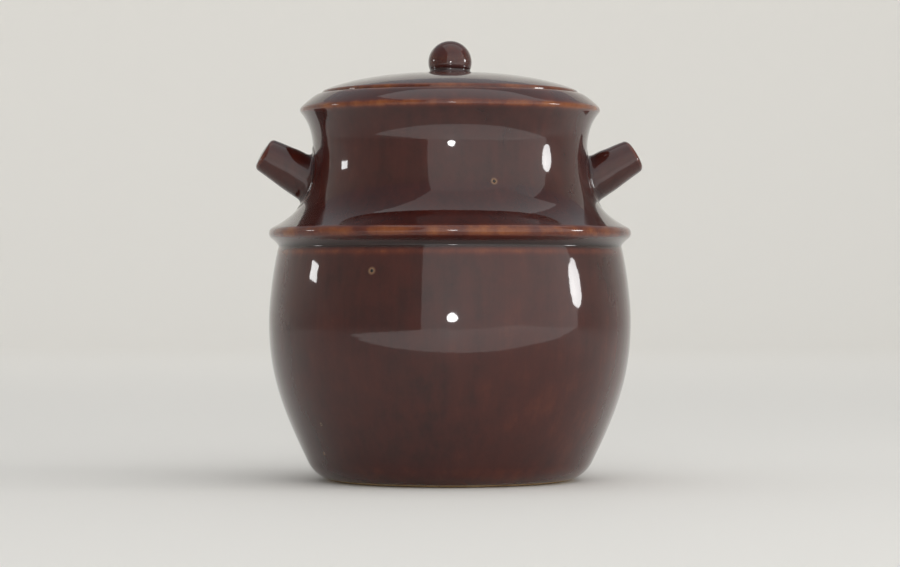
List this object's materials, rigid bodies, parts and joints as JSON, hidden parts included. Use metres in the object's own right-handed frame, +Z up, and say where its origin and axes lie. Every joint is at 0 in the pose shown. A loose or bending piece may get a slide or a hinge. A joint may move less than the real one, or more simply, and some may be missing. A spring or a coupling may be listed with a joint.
{
  "type": "fermentation crock",
  "caption": "Lidded brown glazed stoneware fermentation crock: barrel belly, collared shoulder, peg handles, domed lid with ball knob, half-round pressing weights inside.",
  "frame": {"origin": "middle of the foot, on the surface that the crock stands on", "axes": "+Z up along the pot's axis, +X towards the right handle, -Y towards the front"},
  "size_m": [0.2126, 0.1982, 0.2407],
  "materials": {
    "brown_glaze": "glossy dark brown glaze",
    "lid_glaze": "glossy dark brown glaze",
    "bare_stoneware": "matt unglazed stoneware"
  },
  "bodies": {
    "crock": {"pot": "brown_glaze", "left_handle": "brown_glaze", "right_handle": "brown_glaze"},
    "lid": {"lid": "lid_glaze", "lid_knob": "lid_glaze"},
    "left_weight": {"weight_left": "bare_stoneware"},
    "right_weight": {"weight_right": "bare_stoneware"}
  },
  "joints": [
    {"name": "lid_lift", "type": "slide", "parent": "crock", "child": "lid", "axis": [0, 0, 1], "range_m": [0, 0.15]},
    {"name": "weight_left_lift", "type": "slide", "parent": "crock", "child": "left_weight", "axis": [0, 0, 1], "range_m": [0, 0.165]},
    {"name": "weight_right_lift", "type": "slide", "parent": "crock", "child": "right_weight", "axis": [0, 0, 1], "range_m": [0, 0.165]}
  ]
}
